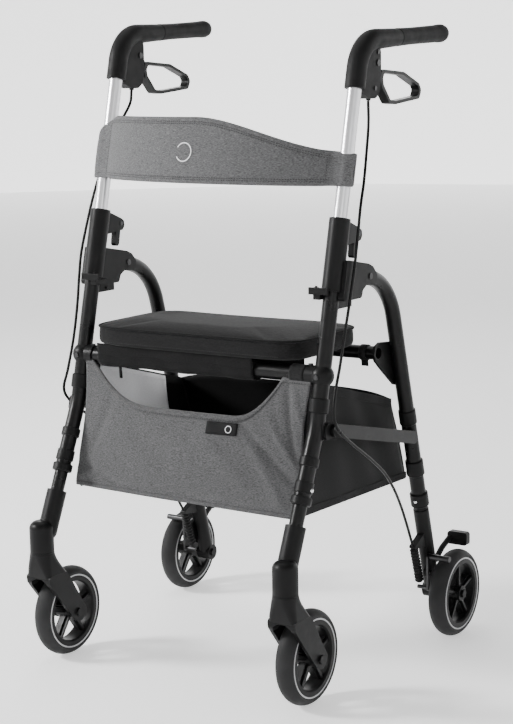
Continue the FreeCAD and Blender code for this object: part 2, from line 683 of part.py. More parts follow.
def side_stay():
    """Channel-section bar; the rear leg's stud runs inside it as the frame folds."""
    d0, z0 = stay_pivot
    d1, z1 = stay_stud
    length = math.hypot(d1 - d0, z1 - z0)
    tilt = math.degrees(math.atan2(z1 - z0, d1 - d0))
    half = stay_height / 2
    x0, x1 = stay_in_x, stay_in_x + stay_depth
    bar = block(x0, x1, d0, d0 + length, z0 - half, z0 + half)
    bar = fused([bar, rod_x(x0, x1, d0, z0, half), rod_x(x0, x1, d0 + length, z0, half)])
    groove = block(x0 - 1, x1 - 1.6, d0 + 110, d0 + length, z0 - half + stay_skin, z0 + half - stay_skin)
    groove = groove.fuse(rod_x(x0 - 1, x1 - 1.6, d0 + length, z0, half - stay_skin))
    bar = bar.cut(groove).cut(rod_x(x0 - 5, x1 + 5, d0, z0, 4.06))
    bar.rotate(at(0, d0, z0), V(1, 0, 0), tilt)
    return bar


def add_rear_frame():
    stay = side_stay()
    parts["side_stay_right"] = stay
    parts["side_stay_left"] = mirrored(stay)
    parts["rear_legs"] = both(rear_leg())
    parts["rear_gussets"] = both(rear_gusset())
    parts["rear_collars"] = both(rear_collars())
    end = rear_leg_x - 11.2
    parts["rear_crossbar"] = pipe_between(at(-end, *rear_bar), at(end, *rear_bar), rear_bar_r, 9.4)


# ---- rear feet: insert, casting, brake and kerb pedal ----
brake_pivot = (374.0, 116.0)
shoe_reach = 82.7
shoe_angle = math.radians(122.0)
wire_anchor = (371.5, 90.0)
boot_top = (347.0, 163.0)
boot_foot = (367.5, 101.0)


def rear_foot():
    """Casting on the rear insert: axle boss, brake lug and cable stop."""
    body = rod(on_rear_leg(75), on_rear_leg(227), 13.4)
    boss = rod_x(rear_leg_x - 13.4, rear_leg_x + 13.4, wheelbase, wheel_r, 14.0)
    lug = plate([(brake_pivot[0] - 8, brake_pivot[1] - 5), (brake_pivot[0] - 8, brake_pivot[1] + 6),
                 (rear_d(140), 146), (rear_d(100), 96)], rear_leg_x + 8, rear_leg_x + 13, 5.0)
    stop_arm = plate([(boot_top[0] - 6, boot_top[1] + 1), (boot_top[0] - 6, boot_top[1] + 5),
                      (rear_d(185), 190), (rear_d(160), 158)], rear_leg_x - 6, rear_leg_x + 6, 2.0)
    body = fused([body, boss, lug, stop_arm])
    body = body.cut(rod(on_rear_leg(118), on_rear_leg(240), inner_tube_r))
    body = body.cut(rod_x(rear_leg_x - 40, rear_leg_x + 40, wheelbase, wheel_r, 4.0))
    return body.cut(rod_x(rear_leg_x - 5, rear_leg_x + 30, *brake_pivot, 2.5))


def brake_arm():
    """Crank on the foot: the cable pulls its lower end and the shoe bar presses on the tread."""
    shoe = (wheelbase + shoe_reach * math.cos(shoe_angle), wheel_r + shoe_reach * math.sin(shoe_angle))
    x0, x1 = rear_leg_x + 14.0, rear_leg_x + 18.0
    p, q = brake_pivot, wire_anchor
    outline = [(q[0] - 6, q[1] - 5), (p[0] - 9, p[1]), (shoe[0] - 8, shoe[1] + 2), (shoe[0], shoe[1] + 7),
               (shoe[0] + 7, shoe[1]), (p[0] + 8, p[1]), (q[0] + 6, q[1] - 5)]
    body = plate(outline, x0, x1, 5.0)
    bar = rod_x(x0, rear_track / 2 + 13, *shoe, 5.0)
    anchor = rod_x(rear_leg_x - 5, x1, *q, 3.5)
    pin = fused([rod_x(rear_leg_x + 8, x1, *p, 2.44), rod_x(x1, x1 + 2, *p, 5.0)])
    return fused([body, bar, anchor, pin])


def brake_boot():
    """Ribbed rubber boot over the bare cable."""
    a, b = at(rear_leg_x, *boot_top), at(rear_leg_x, *boot_foot)
    along = (b - a).normalize()
    length = a.distanceToPoint(b)
    profile = [(1.6, 2.7), (1.6, 5.5)]
    ribs = 9
    for i in range(ribs):
        start = 4 + (length - 8) * i / ribs
        profile += [(start + 0.4, 6.0), (start + 3.2, 7.6), (start + 4.8, 7.6)]
    profile += [(length, 5.5), (length, 2.7)]
    return turned(profile, a, along)


def kerb_pedal():
    """Foot pad on an arm, pushed down to tip the front over a kerb."""
    arm = bent_tube([at(rear_leg_x + 8, 410, 128), at(rear_leg_x + 10, 432, 146), at(rear_leg_x + 12, 462, 160)],
                    30.0, 5.0, 0)
    arm = arm.cut(rod(on_rear_leg(75), on_rear_leg(227), 13.4))
    pad = block(rear_leg_x + 8, rear_track / 2 + 3, 456, 469, 147, 170)
    edges = [e for e in pad.Edges if e.BoundBox.YLength > 12]
    return fused([arm, pad.makeFillet(5.0, edges)])


def add_rear_feet():
    insert = pipe_between(on_rear_leg(119), on_rear_leg(318), inner_tube_r, inner_bore_r)
    shapes = {
        "rear_leg_insert": insert.cut(snap_slot(on_rear_leg(rear_snap_z), V(0, -1, 0), rear_dir)),
        "rear_foot": Part.makeCompound([rear_foot(), axle_bolt(rear_leg_x - 13.4, rear_track / 2 + 15.7, wheelbase)]),
        "brake_arm": brake_arm(),
        "brake_boot": brake_boot(),
        "kerb_pedal": kerb_pedal(),
        "rear_snap": dome_button(on_rear_leg(rear_snap_z) - V(0, 9.8, 0), V(0, -1, 0), 3.5, 6.4),
    }
    for name, side in sides:
        for node, shape in shapes.items():
            parts[f"{node}_{name}"] = shape if side == right else mirrored(shape)


# ---- brake cables ----
cable_r = 2.4
right_upper_part = [
    (232, 206, 917), (234, 203, 880), (241, 184, 838), (251, 158, 795), (256, 138, 757), (258, 126, 715),
    (259.5, 112, 665), (259.5, 97, 615), (259, 83, 570), (258.5, 68, 520), (260, 50, 478),
]
left_upper_part = [
    (232, 210.7, 936.4), (232.5, 206, 914), (238, 187, 884), (246, 162, 836), (253, 139, 790), (257, 124, 750),
    (260, 112, 712), (264, 101, 668), (263, 92, 628), (259.5, 81, 585), (257.5, 66, 530), (259, 50, 478),
]
lower_part = [
    (262.8, 42, 445), (263, 58, 421), (263, 98, 393), (263, 152, 360), (260, 204, 326), (254, 246, 291),
    (247, 284, 252), (241, 316, 212), (238, 338, 178),
]


def brake_cable(side):
    """One whole cable from the lever housing, down the outside of the leg, to the brake boot."""
    upper_part = left_upper_part if side == left else right_upper_part
    points = [at(*place) for place in upper_part + lower_part]
    radii = []

    def radius(i, turn, before, after):
        r = 0.45 * min(before, after) / math.tan(turn / 2)
        radii.append(round(r))
        return r

    wire = rounded_route(points, radius)
    body = swept(wire, cable_r)
    print("cable", "left" if side == left else "right", "length", round(wire.Length), "radii", radii,
          "volume ratio", round(body.Volume / (math.pi * cable_r ** 2 * wire.Length), 4))
    return body if side == right else mirrored(body)


add_wheels()
add_casters()
add_front_frame()
add_handles()
add_rear_frame()
add_rear_feet()
parts["backrest"] = backrest()
parts["seat_cushion"] = seat()
parts["bag"] = bag()
parts["brake_cables"] = Part.makeCompound([brake_cable(right), brake_cable(left)])

os.makedirs("parts", exist_ok=True)
for node, shape in parts.items():
    shape.exportStep(f"parts/{node}.step")
    if not shape.isValid():
        print("invalid", node)
print(len(parts), "nodes")
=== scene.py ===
import math

import bmesh
import bpy
from mathutils import Matrix, Vector


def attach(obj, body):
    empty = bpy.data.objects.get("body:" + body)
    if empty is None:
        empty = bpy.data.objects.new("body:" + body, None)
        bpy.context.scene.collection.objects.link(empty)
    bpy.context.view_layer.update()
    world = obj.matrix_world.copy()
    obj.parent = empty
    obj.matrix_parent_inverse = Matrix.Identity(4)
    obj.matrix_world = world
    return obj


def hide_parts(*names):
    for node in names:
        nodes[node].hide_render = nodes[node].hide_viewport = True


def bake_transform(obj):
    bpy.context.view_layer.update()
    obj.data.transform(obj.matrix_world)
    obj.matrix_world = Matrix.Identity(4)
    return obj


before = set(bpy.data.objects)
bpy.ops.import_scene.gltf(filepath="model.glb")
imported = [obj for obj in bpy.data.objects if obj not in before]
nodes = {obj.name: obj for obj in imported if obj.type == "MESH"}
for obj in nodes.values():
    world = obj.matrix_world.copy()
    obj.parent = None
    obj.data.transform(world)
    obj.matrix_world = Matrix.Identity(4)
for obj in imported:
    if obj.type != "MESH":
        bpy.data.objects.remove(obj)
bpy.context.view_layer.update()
SIDES = (("right", 1), ("left", -1))
HALF_BASE = 207.7  # from the front axle to the origin, halfway between the axles
TO_FRONT = Vector((0, -1, 0))


def at(x, d, z):
    """Millimetres: x across, d behind the front axle, z up."""
    return Vector((x / 1000, (d - HALF_BASE) / 1000, z / 1000))


def link(name, mesh):
    """Put a mesh into the scene as a new object."""
    o = bpy.data.objects.new(name, mesh)
    bpy.context.scene.collection.objects.link(o)
    return o


def mesh_object(name, verts, faces, smooth=True, uvs=None):
    """A new object from points and faces; uvs holds one pair for each point."""
    mesh = bpy.data.meshes.new(name)
    mesh.from_pydata([tuple(v) for v in verts], [], faces)
    mesh.update()
    if uvs:
        layer = mesh.uv_layers.new(name="uv")
        for loop in mesh.loops:
            layer.data[loop.index].uv = uvs[loop.vertex_index]
    for p in mesh.polygons:
        p.use_smooth = smooth
    return link(name, mesh)


def apply_modifiers(o):
    """Turn what the modifiers make into the object's own mesh."""
    deps = bpy.context.evaluated_depsgraph_get()
    mesh = bpy.data.meshes.new_from_object(o.evaluated_get(deps))
    old = o.data
    o.modifiers.clear()
    o.data = mesh
    bpy.data.meshes.remove(old)


def thicken(o, thickness):
    """Give a single-layer sheet a real thickness, half on each side."""
    thick = o.modifiers.new("thick", "SOLIDIFY")
    thick.thickness = thickness
    thick.offset = 0
    apply_modifiers(o)


def grid(rows, closed_u=False, closed_v=False):
    """Quads over a list of rows of points."""
    nv, nu = len(rows), len(rows[0])
    verts = [p for row in rows for p in row]
    faces = []
    for j in range(nv if closed_v else nv - 1):
        for i in range(nu if closed_u else nu - 1):
            a, b = j * nu + i, j * nu + (i + 1) % nu
            c, d = ((j + 1) % nv) * nu + (i + 1) % nu, ((j + 1) % nv) * nu + i
            faces.append((a, b, c, d))
    return verts, faces


def tube(name, points, radius, sides=12, caps=True):
    """Sweep a circle along a polyline; radius is a number or a function of the length fraction."""
    points = [Vector(p) for p in points]
    tangents = []
    for i in range(len(points)):
        a, b = points[max(i - 1, 0)], points[min(i + 1, len(points) - 1)]
        tangents.append((b - a).normalized())
    side = tangents[0].orthogonal().normalized()
    rows = []
    for i, (p, t) in enumerate(zip(points, tangents)):
        side = (side - t * side.dot(t)).normalized()
        up = t.cross(side)
        r = radius(i / (len(points) - 1)) if callable(radius) else radius
        row = []
        for k in range(sides):
            turn = k * math.tau / sides
            row.append(p + side * (math.cos(turn) * r) + up * (math.sin(turn) * r))
        rows.append(row)
    verts, faces = grid(rows, closed_u=True)
    if caps:
        faces.append(tuple(reversed(range(sides))))
        faces.append(tuple(range(len(verts) - sides, len(verts))))
    return mesh_object(name, verts, faces)


def smooth_curve(points, steps=10):
    """Points on a smooth line through the given ones."""
    pts = [Vector(p) for p in points]
    out = []
    for i in range(len(pts) - 1):
        p0 = pts[i - 1] if i else pts[0] * 2 - pts[1]
        p3 = pts[i + 2] if i + 2 < len(pts) else pts[-1] * 2 - pts[-2]
        p1, p2 = pts[i], pts[i + 1]
        for k in range(steps):
            t = k / steps
            out.append(0.5 * ((2 * p1) + (p2 - p0) * t + (2 * p0 - 5 * p1 + 4 * p2 - p3) * t * t
                              + (3 * p1 - p0 - 3 * p2 + p3) * t ** 3))
    out.append(pts[-1])
    return out


def smoothstep(a, b, x):
    """0 at a, 1 at b, level at both ends."""
    t = min(max((x - a) / (b - a), 0.0), 1.0)
    return t * t * (3 - 2 * t)


# ---- materials ----
class Mat:
    """A small builder round one Principled material."""

    def __init__(self, name, rough=0.5, metallic=0.0, spec=0.5):
        self.m = bpy.data.materials.new(name)
        self.m.use_nodes = True
        self.t = self.m.node_tree
        self.bsdf = self.t.nodes["Principled BSDF"]
        self.bsdf.inputs["Roughness"].default_value = rough
        self.bsdf.inputs["Metallic"].default_value = metallic
        self.bsdf.inputs["Specular IOR Level"].default_value = spec
        self.coord = self.t.nodes.new("ShaderNodeTexCoord")

    def node(self, kind, **inputs):
        n = self.t.nodes.new(kind)
        for k, v in inputs.items():
            key = k.replace("_", " ")
            if key in n.inputs:
                if isinstance(v, bpy.types.NodeSocket):
                    self.t.links.new(v, n.inputs[key])
                else:
                    n.inputs[key].default_value = v
        return n

    def scaled(self, scale, space="Object"):
        m = self.node("ShaderNodeMapping")
        m.inputs["Scale"].default_value = scale
        self.t.links.new(self.coord.outputs[space], m.inputs["Vector"])
        return m.outputs["Vector"]

    def noise(self, scale, detail=3.0, vector=None, rough=0.55):
        n = self.node("ShaderNodeTexNoise", Scale=scale, Detail=detail, Roughness=rough)
        self.t.links.new(vector or self.coord.outputs["Object"], n.inputs["Vector"])
        return n.outputs["Fac"]

    def ramp(self, fac, stops):
        r = self.t.nodes.new("ShaderNodeValToRGB")
        r.color_ramp.elements[0].position, r.color_ramp.elements[0].color = stops[0]
        r.color_ramp.elements[1].position, r.color_ramp.elements[1].color = stops[-1]
        for pos, col in stops[1:-1]:
            e = r.color_ramp.elements.new(pos)
            e.color = col
        self.t.links.new(fac, r.inputs["Fac"])
        return r.outputs["Color"]

    def math(self, op, a, b=None):
        n = self.t.nodes.new("ShaderNodeMath")
        n.operation = op
        for i, v in enumerate((a, b)):
            if v is None:
                continue
            if isinstance(v, bpy.types.NodeSocket):
                self.t.links.new(v, n.inputs[i])
            else:
                n.inputs[i].default_value = v
        return n.outputs[0]

    def colour(self, socket):
        self.t.links.new(socket, self.bsdf.inputs["Base Color"])

    def rough(self, socket):
        self.t.links.new(socket, self.bsdf.inputs["Roughness"])

    def bump(self, height, strength=0.3, distance=0.0005):
        b = self.node("ShaderNodeBump", Strength=strength, Distance=distance, Height=height)
        self.t.links.new(b.outputs["Normal"], self.bsdf.inputs["Normal"])


def grey(v):
    """A neutral shade with a trace of blue."""
    return (v, v, v * 1.02, 1.0)


# Plastic, coating and metal vary in shade and gloss; fabric varies from thread to thread.
def plastic(name, base, rough=0.45, grain=900.0, spec=0.13, strength=0.15, vary=0.25):
    m = Mat(name, rough, spec=spec)
    broad = m.noise(14.0, 4.0)
    m.colour(m.ramp(broad, [(0.3, grey(base * (1 - vary))), (0.7, grey(base * (1 + vary)))]))
    m.rough(m.ramp(m.noise(60.0, 5.0), [(0.3, grey(rough * 0.85)), (0.75, grey(min(rough * 1.2, 1.0)))]))
    m.bump(m.noise(grain, 2.0), strength, 0.0003)
    return m.m


def powder_coat(name, base=0.004):
    m = Mat(name, 0.34, spec=0.17)
    m.colour(m.ramp(m.noise(9.0, 4.0), [(0.3, grey(base * 0.85)), (0.7, grey(base * 1.2))]))
    m.rough(m.ramp(m.noise(45.0, 6.0), [(0.35, grey(0.27)), (0.75, grey(0.42))]))
    m.bump(m.noise(1400.0, 2.0), 0.12, 0.0002)
    return m.m


def metal(name, base, rough=0.3, brushed=(600.0, 600.0, 8.0)):
    m = Mat(name, rough, metallic=1.0)
    streak = m.noise(1.0, 3.0, m.scaled(brushed))
    m.colour(m.ramp(streak, [(0.3, grey(base * 0.97)), (0.7, grey(base))]))
    m.rough(m.ramp(streak, [(0.3, grey(rough * 0.95)), (0.7, grey(rough * 1.08))]))
    m.bump(streak, 0.015, 0.0001)
    return m.m


def fabric(name, dark, light, thread=0.9, rough=0.9, melange=1.0, strength=0.6, sheen=0.15):
    """Plain weave: two crossed sets of threads, each thread with its own shade."""
    m = Mat(name, rough, spec=0.08)
    m.bsdf.inputs["Sheen Weight"].default_value = sheen
    m.bsdf.inputs["Sheen Roughness"].default_value = 0.5
    f = 1.0 / (thread / 1000)
    across = m.noise(1.0, 1.5, m.scaled((f * 0.28, f * 0.28, f * 1.5)))
    along = m.noise(1.0, 1.5, m.scaled((f * 1.5, f * 1.5, f * 0.35)))
    fine = m.noise(f * 0.8, 2.0)
    weft = m.math("MULTIPLY", across, 1.9)
    warp = m.math("MULTIPLY", m.math("ADD", along, fine), 0.55)
    mix = m.math("MULTIPLY", m.math("ADD", weft, warp), 1 / 3)
    width = 0.16 / max(melange, 0.01)
    middle = grey((dark + light) / 2)
    m.colour(m.ramp(mix, [(0.5 - width, grey(dark)), (0.5, middle), (0.5 + width, grey(light))]))
    m.bump(m.math("ADD", mix, m.math("MULTIPLY", m.noise(45.0, 3.0), 0.5)), strength, 0.0008)
    return m.m


MAT = {
    "coat": powder_coat("satin_black_coat"),
    "silver": metal("clear_anodised_tube", 0.58, 0.3, (90.0, 90.0, 4.0)),
    "plastic": plastic("black_moulded", 0.005, 0.42),
    "plastic_soft": plastic("black_soft_moulded", 0.006, 0.55, 700.0),
    "lever": plastic("lever_plastic", 0.005, 0.36),
    "grip": plastic("soft_grip_rubber", 0.007, 0.60, 520.0, strength=0.4),
    "tread": plastic("pu_tyre", 0.020, 0.62, 380.0, strength=0.4),
    "rim": plastic("rim_nylon", 0.006, 0.40, 800.0),
    "ring": plastic("light_ring", 0.42, 0.45),
    "mark": plastic("printed_mark", 0.75, 0.6, 1200.0, vary=0.05),
    "dark_steel": metal("black_oxide_steel", 0.05, 0.38, (300.0, 300.0, 300.0)),
    "chrome": metal("bright_button", 0.75, 0.12, (200.0, 200.0, 200.0)),
    "boot": plastic("boot_rubber", 0.006, 0.55, 600.0, strength=0.4),
    "sheath": plastic("cable_sheath", 0.005, 0.32, 300.0),
    "seat": fabric("seat_cloth", 0.004, 0.013, 1.4, 0.85, 0.9, 0.6, 0.05),
    "seat_side": fabric("seat_side_cloth", 0.003, 0.011, 1.0, 0.9, 0.9, 0.5, 0.04),
    "bag": fabric("grey_melange", 0.03, 0.11, 1.0, 0.92, 1.05, 0.5, 0.1),
    "back": fabric("grey_melange_back", 0.042, 0.15, 1.0, 0.92, 1.05, 0.5, 0.1),
    "liner": fabric("bag_side_nylon", 0.003, 0.009, 0.8, 0.6, 1.0, 0.3, 0.03),
    # Pale inner sheet of the bag's sides: partly its own pale colour, partly painted light, raised near white
    # to stand for light showing through the sides into the bag.
    "painted_light_lining": fabric("pale_lining_painted_light", 0.86, 0.96, 1.6, 0.7, 1.0, 0.4, 0.05),
    "webbing": fabric("grey_webbing", 0.006, 0.018, 1.2, 0.85, 1.0, 0.5, 0.05),
    "thread": fabric("dark_thread", 0.012, 0.03, 0.5, 0.8, 1.0, 0.2),
    "label": plastic("label_weave", 0.006, 0.7, 1500.0),
}


def dress(o, key):
    """Give an object one material from the table."""
    o.data.materials.clear()
    o.data.materials.append(MAT[key])


def piece(o, body, key, replaces=()):
    """A finished visible piece: its material, the body that carries it and what it replaces."""
    dress(o, key)
    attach(o, body)
    if replaces:
        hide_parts(*replaces)
    return o


def stitches(name, line, normal, body, step=0.0042, length=0.0028, r=0.00042):
    """A row of raised stitches along a polyline, pushed out along the normal."""
    verts, faces = [], []
    walked, due = 0.0, 0.0
    for a, b in zip(line, line[1:]):
        run = (b - a).length
        while due < walked + run:
            t = (due - walked) / run
            p = a + (b - a) * t + normal * r * 0.6
            q = p + (b - a).normalized() * length
            side = (b - a).cross(normal).normalized() * r
            out = normal * r
            k = len(verts)
            for c, w in ((p, 0.3), (p + (q - p) * 0.2, 1.0), (p + (q - p) * 0.8, 1.0), (q, 0.3)):
                verts += [c + side * w, c + out * w, c - side * w]
            for j in range(3):
                m = k + 3 * j
                faces += [(m, m + 1, m + 4, m + 3), (m + 1, m + 2, m + 5, m + 4)]
            due += step
        walked += run
    return piece(mesh_object(name, verts, faces), body, "thread")


NODE_LOOK = {
    "front_legs": "coat", "rear_legs": "coat", "front_crossbar": "coat", "rear_crossbar": "coat",
    "side_stay": "coat", "front_leg_insert": "coat", "rear_leg_insert": "coat",
    "handle_tube": "silver", "handle_sleeves": "plastic", "pivot_brackets": "plastic",
    "crossbar_connectors": "plastic", "front_collars": "plastic", "rear_collars": "plastic",
    "rear_gussets": "plastic", "handle_housing": "plastic_soft", "grip": "grip", "brake_lever": "lever",
    "height_lever": "plastic", "fold_lock": "plastic", "caster_head": "plastic", "caster_fork": "plastic",
    "rear_foot": "plastic", "kerb_pedal": "plastic", "brake_arm": "dark_steel", "front_tyre": "tread",
    "rear_tyre": "tread", "front_rim": "rim", "rear_rim": "rim", "front_frame_screws": "dark_steel",
    "handle_screws": "dark_steel", "front_snap": "chrome", "rear_snap": "chrome",
}
for node, o in nodes.items():
    stem = node.removesuffix("_left").removesuffix("_right")
    if stem in NODE_LOOK:
        dress(o, NODE_LOOK[stem])


# ---- backrest ----
BACK_LEG_X = 232.0  # the handle tubes' distance from the middle
BACK_BULGE = 95.0  # how far the band bows forward between the tubes
BACK_BASE_Z = 790  # the height that the band's lean is measured from
LEG_LEAN = 0.23953  # backward run of the handle tubes for each millimetre up
BACK_FACE_D = 128.7  # depth of the tubes' axis at the base height
BACK_RADIUS = (BACK_LEG_X ** 2 + BACK_BULGE ** 2) / (2 * BACK_BULGE)


def hump(x):
    """Top edge of the band: a rounded left shoulder, a level crown, then a long fall to the right."""
    crown, end, shoulder_x, shoulder_w = 896.0, 838.0, -188.0, 70.0
    if x < shoulder_x:
        t = min((shoulder_x - x) / shoulder_w, 1.0)
        return 840.0 + (crown - 840.0) * math.sqrt(1 - t * t)
    return crown - (crown - end) * smoothstep(5.0, 255.0, x)


def low_edge(x):
    """Bottom edge of the band, a very shallow arch."""
    return 794.0 - 4.5 * ((x + 80.0) / 280.0) ** 2


def backrest_front(x, z):
    """A point on the front face of the band, between its two pockets."""
    proud = 4.0
    y = -BACK_BULGE + BACK_RADIUS - math.sqrt(BACK_RADIUS ** 2 - x ** 2)
    return at(x, BACK_FACE_D + y - proud + LEG_LEAN * (z - BACK_BASE_Z), z)


def backrest_plan():
    """The band from above: (front x, front y, back x, back y) from one pocket to the other."""
    wrap, half_thick, pocket_steps, span, count = 15.6, 2.2, 8, 217, 60
    plan = []
    for i in range(pocket_steps + 1):
        a = math.radians(180 - 78 * i / pocket_steps)
        wide = 1 + 0.24 * max(0.0, -math.cos(a))
        x = wrap * wide * math.cos(a) - BACK_LEG_X
        plan.append((x, -wrap * math.sin(a), x, wrap * math.sin(a) * (1 if i < 7 else 0.9)))
    for i in range(count + 1):
        x = -span + 2 * span * i / count
        y = -BACK_BULGE + BACK_RADIUS - math.sqrt(BACK_RADIUS ** 2 - x ** 2)
        t = smoothstep(span, 200, abs(x))
        front = -wrap * (1 - t) * 0.98 + (y - half_thick) * t
        back = (wrap * 0.45) * (1 - t) + (y + half_thick) * t
        if t < 1:
            front, back = min(front, y - half_thick), max(back, y + half_thick)
        plan.append((x, front, x, back))
    for i in range(pocket_steps + 1):
        a = math.radians(78 - 78 * i / pocket_steps)
        x = BACK_LEG_X + wrap * math.cos(a)
        plan.append((x, -wrap * math.sin(a), x, wrap * math.sin(a) * (1 if i > 1 else 0.9)))
    return plan


def build_backrest():
    tube_d = 41.96 + LEG_LEAN * (BACK_BASE_Z - 427.8)
    plan = backrest_plan()
    rows = 60
    edge_round, puff_reach, puff_height, seam_inset, seam_depth = 3.5, 20, 1.6, 8.5, 0.5
    verts_f, verts_b, uv = [], [], []
    u = 0.0
    last = None
    for fx, fy, bx, by in plan:
        if last:
            u += math.hypot(fx - last[0], fy - last[1])
        last = (fx, fy)
        top, low = hump(fx), low_edge(fx)
        for j in range(rows + 1):
            v = j / rows
            z = low + (top - low) * v
            edge = min(z - low, top - z)
            full = math.sqrt(max(0.0, 1 - (1 - min(edge / edge_round, 1.0)) ** 2))
            puff = puff_height * math.sin(math.pi * v) * smoothstep(0, 1, min(edge / puff_reach, 1))
            puff -= seam_depth * math.exp(-(edge - seam_inset) ** 2)
            mid_y, mid_x = (fy + by) / 2, (fx + bx) / 2
            lean = LEG_LEAN * (z - BACK_BASE_Z)
            front_d = tube_d + mid_y + (fy - mid_y) * full - puff + lean
            back_d = tube_d + mid_y + (by - mid_y) * full + lean
            verts_f.append(at(mid_x + (fx - mid_x) * full, front_d, z))
            verts_b.append(at(mid_x + (bx - mid_x) * full, back_d, z))
            uv.append((u / 1000, (top - z) / 1000))
    nu, nv = len(plan), rows + 1
    back_start = nu * nv
    faces = []
    for i in range(nu - 1):
        for j in range(nv - 1):
            a, b, c, d = i * nv + j, (i + 1) * nv + j, (i + 1) * nv + j + 1, i * nv + j + 1
            faces.append((a, b, c, d))
            faces.append((back_start + a, back_start + d, back_start + c, back_start + b))
    o = mesh_object("backrest_band", verts_f + verts_b, faces, uvs=uv + uv)
    bm = bmesh.new()
    bm.from_mesh(o.data)
    bmesh.ops.remove_doubles(bm, verts=bm.verts, dist=0.0001)
    bmesh.ops.recalc_face_normals(bm, faces=bm.faces)
    bm.to_mesh(o.data)
    bm.free()
    piece(o, "backrest_band", "back", ["backrest"])
    build_back_stitches()
    build_back_mark()


def build_back_stitches():
    """Two rows along the top and bottom edges, and one up each pocket."""
    xs = [-214 + 4 * i for i in range(108)]
    for row, inset in (("outer", 6.8), ("inner", 10.2)):
        top_line = [backrest_front(x, hump(x) - inset) for x in xs]
        low_line = [backrest_front(x, low_edge(x) + inset) for x in xs]
        stitches(f"back_top_stitch_{row}", top_line, TO_FRONT, "backrest_band")
        stitches(f"back_low_stitch_{row}", low_line, TO_FRONT, "backrest_band")
    for name, x in (("left", -212), ("right", 212)):
        heights = range(800, int(hump(x)) - 8, 4)
        seam = [backrest_front(x, z) + TO_FRONT * 0.001 for z in heights]
        stitches(f"back_seam_{name}", seam, TO_FRONT, "backrest_band")


def build_back_mark():
    """A plain open ring, printed on the front."""
    x0, z0, inner, outer, steps = -6, 842, 13.4, 15.0, 40
    ring = []
    for k in range(steps + 1):
        a = math.radians(-150 + 300 * k / steps)
        row = [backrest_front(x0 + r * math.cos(a), z0 + r * math.sin(a)) for r in (inner, outer)]
        ring.append([p + TO_FRONT * 0.0011 for p in row])
    verts, faces = grid(ring)
    piece(mesh_object("back_mark", verts, faces), "backrest_band", "mark")


# ---- seat ----
SEAT_HALF_W, SEAT_FRONT, SEAT_REAR, SEAT_BOTTOM = 200.0, 32.0, 246.0, 524.0
SEAT_CORNER = 0.29  # exponent of the outline; smaller is squarer
SEAT_POINTS = 96
SEAT_PROFILE = [
    (150, 1.0), (60, 0.4), (14, 0), (4, 1.5), (0.8, 5), (0.0, 12), (0.4, 21), (0.6, 28), (2.0, 32), (6, 34.5),
    (16, 36.5), (34, 38.0), (60, 39.0), (95, 39.6),
]  # inset from the outline and height over the bottom, from the underside round to the crown


def seat_outline(inset, z):
    """One level round of the cushion."""
    half_d = (SEAT_REAR - SEAT_FRONT) / 2
    pts = []
    for k in range(SEAT_POINTS):
        a = math.tau * k / SEAT_POINTS
        c, s = math.cos(a), math.sin(a)
        x = (SEAT_HALF_W - inset) * math.copysign(abs(c) ** SEAT_CORNER, c)
        y = (half_d - inset) * math.copysign(abs(s) ** SEAT_CORNER, s)
        pts.append((x, (SEAT_FRONT + SEAT_REAR) / 2 + y, z))
    return pts


def build_seat():
    rows = [[at(*p) for p in seat_outline(inset, SEAT_BOTTOM + z)] for inset, z in SEAT_PROFILE]
    verts, faces = grid(rows, closed_u=True)
    faces.append(tuple(reversed(range(SEAT_POINTS))))
    faces.append(tuple(range(len(verts) - SEAT_POINTS, len(verts))))
    seat = mesh_object("seat_cushion_cover", verts, faces)
    inflate(seat, SEAT_BOTTOM + 3, SEAT_BOTTOM + 30)
    piece(seat, "seat", "seat", ["seat_cushion"])
    ring = [at(*p) for p in seat_outline(0.7, SEAT_BOTTOM + 31)]
    ring += ring[:2]
    pipe = tube("seat_piping", ring, 0.0021, 8, caps=False)
    piece(pipe, "seat", "seat_side")
    line = [at(x, 31.2, SEAT_BOTTOM + 8) for x in range(-172, 173, 4)]
    stitches("seat_front_stitch", line, TO_FRONT, "seat")

    span = [float(x) for x in range(-190, 120, 5)]
    axis = [at(x, 59.0, 503.4 + 0.5 * math.sin(x / 21)) for x in span]
    sleeve = tube("seat_bar_sleeve", axis, lambda t: 0.0156 + 0.0004 * math.sin(t * 37), 24, caps=False)
    thicken(sleeve, 0.0012)
    piece(sleeve, "seat", "seat_side")

    rows = []
    low, high, steps = 506, SEAT_BOTTOM + 2, 5
    for j in range(steps + 1):
        z = low + (high - low) * j / steps
        rows.append([at(x, 75.5 + 0.6 * math.sin(x / 23), z) for x in range(-190, 191, 5)])
    under = seat_web("seat_under_web", rows)

    rows = []
    low, high, steps = 503, SEAT_BOTTOM + 3, 6
    for j in range(steps + 1):
        v = j / steps
        z = low + (high - low) * v
        rows.append([at(x, 45.5 - 3.0 * v + 0.8 * math.sin(x / 19), z) for x in span])
    skirt = seat_web("seat_front_skirt", rows)


def seat_web(name, rows):
    """A short upright strip of the seat's cloth."""
    verts, faces = grid(rows)
    web = mesh_object(name, verts, faces)
    thicken(web, 0.0016)
    return piece(web, "seat", "seat_side")


